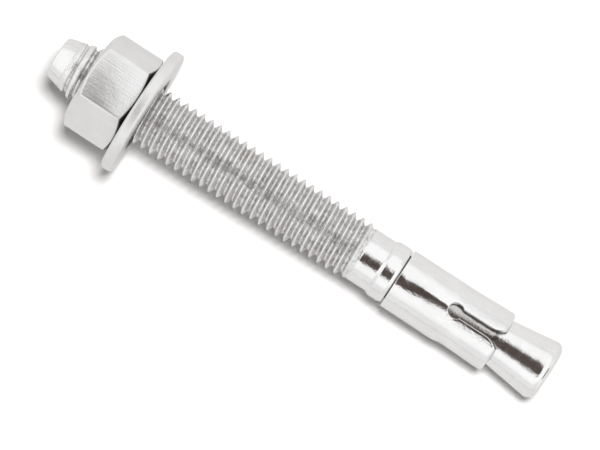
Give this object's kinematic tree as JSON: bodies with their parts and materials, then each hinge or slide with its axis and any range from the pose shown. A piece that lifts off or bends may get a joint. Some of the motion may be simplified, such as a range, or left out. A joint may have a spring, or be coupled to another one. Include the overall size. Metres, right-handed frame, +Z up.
{
  "type": "wedge anchor",
  "caption": "Zinc-plated steel wedge anchor: threaded stud with hex nut and flat washer at one end, and a split expansion clip round the neck of its cone at the other.",
  "frame": {"origin": "on the floor under the middle of the lying anchor, at the centre of its box's bottom", "axes": "+X along the anchor from the threaded tip to the cone end, +Z up; the anchor's own axis leans down to +X by about 4.5 degrees, because it lies on its washer's rim and its cone's end"},
  "size_m": [0.1146, 0.027, 0.027],
  "materials": {
    "zinc_stud": "bright zinc plate on a rolled and turned stud",
    "zinc_clip": "bright zinc plate on rolled strip",
    "zinc_washer": "bright zinc plate on a punched washer",
    "zinc_nut": "bright zinc plate on a formed nut"
  },
  "bodies": {
    "stud": {"stud": "zinc_stud"},
    "clip": {"expansion_clip": "zinc_clip"},
    "washer": {"washer": "zinc_washer"},
    "nut": {"hex_nut": "zinc_nut"}
  },
  "joints": [
    {"name": "washer_travel", "type": "slide", "parent": "stud", "child": "washer", "axis": [0.997, 0, -0.0778], "range_m": [-0.00733, 0.04885]},
    {"name": "nut_turn", "type": "hinge", "parent": "washer", "child": "nut", "pos_m": [-0.04399, 0, 0.01403], "axis": [0.997, 0, -0.0778], "range_deg": [-1350, 9000]},
    {"name": "clip_turn", "type": "hinge", "parent": "stud", "child": "clip", "pos_m": [0.034, 0, 0.00795], "axis": [0.997, 0, -0.0778], "continuous": true}
  ],
  "couplings": [
    {"joint": "washer_travel", "follows": "nut_turn", "m_per_rad": 0.00031096}
  ]
}
